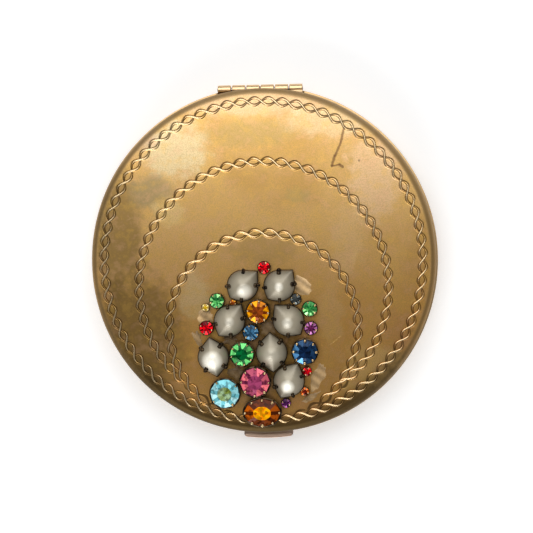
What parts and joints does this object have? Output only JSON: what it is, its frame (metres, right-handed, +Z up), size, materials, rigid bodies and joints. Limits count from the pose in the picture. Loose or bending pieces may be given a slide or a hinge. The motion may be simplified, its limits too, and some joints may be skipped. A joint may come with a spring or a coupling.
{
  "type": "powder compact",
  "caption": "Round hinged brass powder compact with a push catch, a mirror, loose powder fittings and a puff, its lid engraved with rope rings and set with glass stones.",
  "frame": {"origin": "middle of the flat bottom of the base", "axes": "+Z up through the lid, +Y towards the hinge, -Y towards the catch"},
  "size_m": [0.0898, 0.0917, 0.0169],
  "materials": {
    "aged_brass": "tarnished, worn, semi-gloss",
    "bright_brass": "satin gilt",
    "rose_brass": "worn, coppery",
    "steel": "plain",
    "mirror_glass": "silvered glass",
    "card": "matte board",
    "powder": "pressed face powder, matte",
    "gauze": "fine open net",
    "velour": "short pile",
    "satin": "satin ribbon",
    "cup_brass": "dark tarnished",
    "grey_pearl": "satin frosted glass, pearly",
    "topaz": "foiled glass, gloss",
    "emerald": "foiled glass, gloss",
    "sapphire": "foiled glass, gloss",
    "rose": "foiled glass, gloss",
    "aqua": "foiled glass, gloss",
    "amber": "foiled glass, gloss",
    "light_green": "foiled glass, gloss",
    "steel_blue": "foiled glass, gloss",
    "red": "foiled glass, gloss",
    "black_diamond": "foiled glass, gloss",
    "violet": "foiled glass, gloss",
    "garnet": "foiled glass, gloss",
    "purple": "foiled glass, gloss",
    "yellow": "foiled glass, gloss"
  },
  "bodies": {
    "case": {"base_shell": "aged_brass", "inner_frame": "bright_brass", "powder_pan": "bright_brass", "powder_cake": "powder", "sifter_ring": "bright_brass", "sifter_mesh": "gauze", "powder_puff": "velour", "puff_ribbon": "satin", "base_hinge_leaf": "bright_brass", "hinge_pin": "steel", "catch_guide": "bright_brass", "catch_spring": "steel"},
    "lid": {"lid_shell": "aged_brass", "lid_hinge_leaf": "bright_brass", "lid_keeper": "bright_brass", "mirror_ring": "bright_brass", "mirror": "mirror_glass", "mirror_backing": "card", "drop_cup_1": "cup_brass", "drop_stone_1": "grey_pearl", "drop_cup_2": "cup_brass", "drop_stone_2": "grey_pearl", "drop_cup_3": "cup_brass", "drop_stone_3": "grey_pearl", "drop_cup_4": "cup_brass", "drop_stone_4": "grey_pearl", "drop_cup_5": "cup_brass", "drop_stone_5": "grey_pearl", "drop_cup_6": "cup_brass", "drop_stone_6": "grey_pearl", "drop_cup_7": "cup_brass", "drop_stone_7": "grey_pearl", "topaz_cup": "cup_brass", "topaz_stone": "topaz", "emerald_cup": "cup_brass", "emerald_stone": "emerald", "sapphire_cup": "cup_brass", "sapphire_stone": "sapphire", "rose_cup": "cup_brass", "rose_stone": "rose", "aqua_cup": "cup_brass", "aqua_stone": "aqua", "amber_oval_cup": "cup_brass", "amber_oval_stone": "amber", "light_green_left_cup": "cup_brass", "light_green_left_stone": "light_green", "light_green_right_cup": "cup_brass", "light_green_right_stone": "light_green", "steel_blue_cup": "cup_brass", "steel_blue_stone": "steel_blue", "red_top_stone": "red", "red_left_stone": "red", "red_right_stone": "red", "black_diamond_stone": "black_diamond", "violet_stone": "violet", "garnet_stone": "garnet", "purple_stone": "purple", "yellow_stone": "yellow", "small_amber_stone": "topaz"},
    "catch": {"catch_button": "rose_brass"}
  },
  "joints": [
    {"name": "lid_hinge", "type": "hinge", "parent": "case", "child": "lid", "pos_m": [0, 0.04425, 0.00515], "axis": [-1, 0, 0], "range_deg": [0, 120]},
    {"name": "catch_push", "type": "slide", "parent": "case", "child": "catch", "axis": [0, 1, 0], "range_m": [0, 0.0008], "stiffness_N_per_m": 600, "springref_m": -0.0005}
  ]
}
